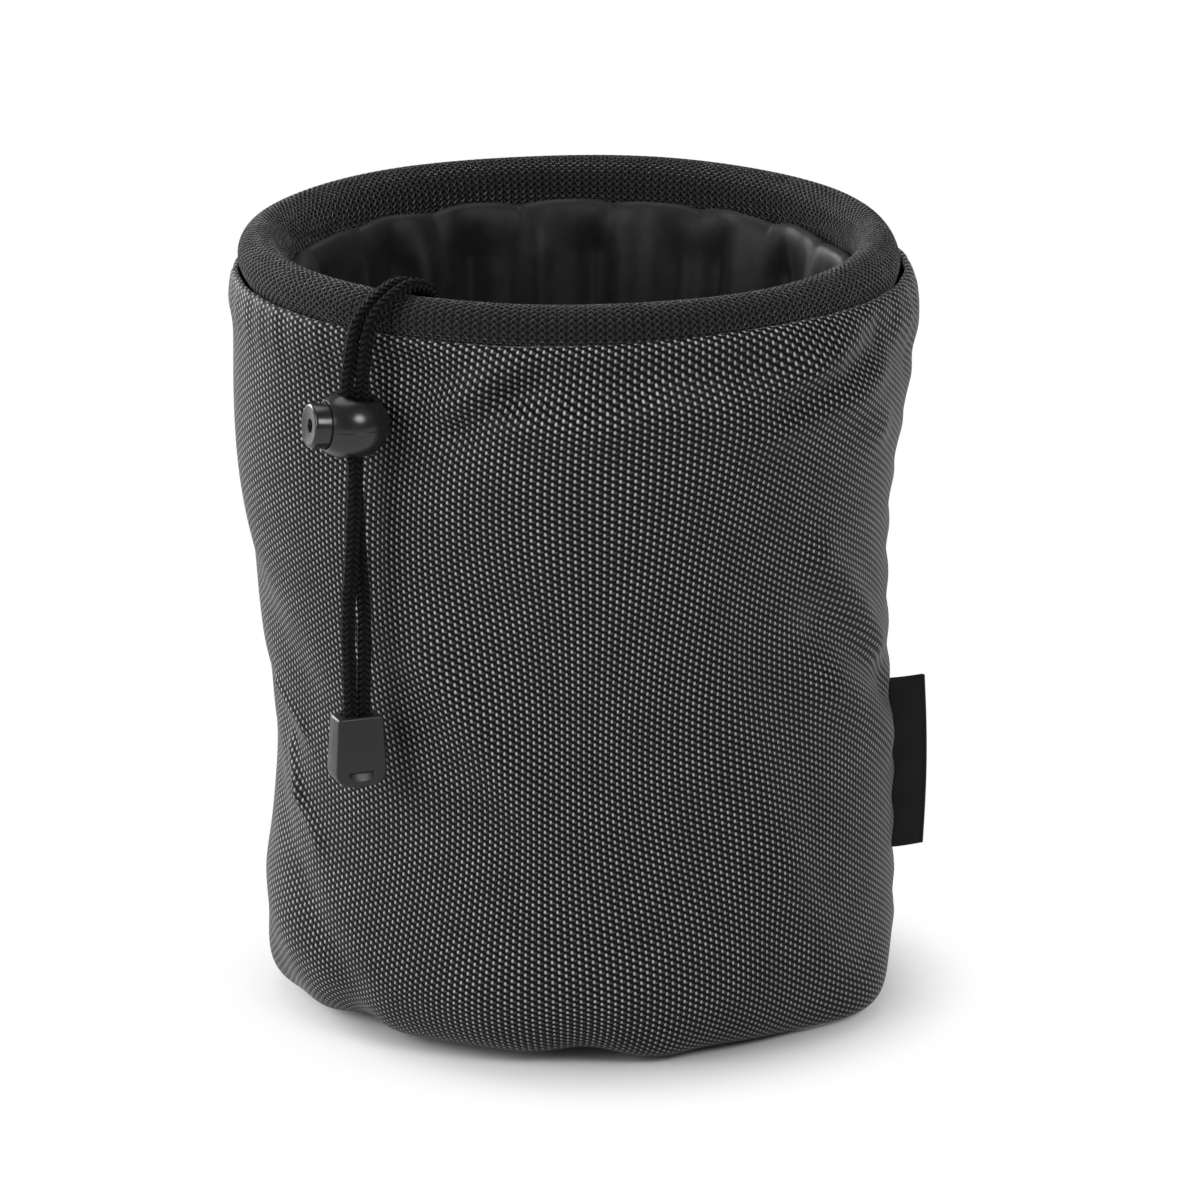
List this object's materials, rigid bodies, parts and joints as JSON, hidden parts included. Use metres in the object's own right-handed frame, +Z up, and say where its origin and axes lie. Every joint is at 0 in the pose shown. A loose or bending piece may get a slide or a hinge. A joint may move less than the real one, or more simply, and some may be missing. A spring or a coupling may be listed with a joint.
{
  "type": "peg bag",
  "caption": "Round soft-sided bag with a flat base, a padded knit rim, a gathered throat on a drawcord, a ball cord lock, a cord end and a folded side label; holds clothes pegs.",
  "frame": {"origin": "centre of the base, on the surface that the bag stands on", "axes": "+Z up, -Y towards the front, +X towards the side label"},
  "size_m": [0.1599, 0.1571, 0.1834],
  "materials": {
    "dotted_weave": "coated plain weave, black with pale grey dots",
    "black_webbing": "woven tape",
    "black_ribbon": "satin ribbon",
    "black_knit": "knit mesh",
    "grey_foam": "soft foam rope",
    "black_nylon": "smooth nylon",
    "black_cord": "knitted cord",
    "black_plastic": "satin moulded",
    "grey_plastic": "matt moulded",
    "spring_steel": "bright wire"
  },
  "bodies": {
    "bag": {"wall_panel": "dotted_weave", "base_panel": "dotted_weave", "base_binding": "black_webbing", "side_seam_binding": "black_webbing", "side_label": "black_ribbon", "rim_cover": "black_knit", "rim_core": "grey_foam", "throat_skirt": "black_nylon", "throat_hem": "black_nylon", "drawcord_loop": "black_cord", "cord_left_over_rim": "black_cord", "cord_right_over_rim": "black_cord"},
    "tail": {"cord_left_tail": "black_cord", "cord_right_tail": "black_cord", "cord_end_front": "grey_plastic", "cord_end_back": "grey_plastic", "cord_end_knot": "black_cord"},
    "cord_lock": {"lock_barrel": "black_plastic", "lock_spring": "spring_steel"},
    "lock_button": {"lock_plunger": "black_plastic"}
  },
  "joints": [
    {"name": "tail_swing", "type": "hinge", "parent": "bag", "child": "tail", "pos_m": [-0.04251, -0.05662, 0.1734], "axis": [-0.7997, 0.6004, 0], "range_deg": [0, 60], "deforming": ["cord_left_over_rim", "cord_right_over_rim"]},
    {"name": "lock_slide", "type": "slide", "parent": "tail", "child": "cord_lock", "axis": [0, 0, -1], "range_m": [-0.002, 0.059]},
    {"name": "button_press", "type": "slide", "parent": "cord_lock", "child": "lock_button", "axis": [0.9336, 0.3584, 0], "range_m": [0, 0.0015], "stiffness_N_per_m": 1500, "springref_m": -0.003, "deforming": ["lock_spring"]}
  ]
}
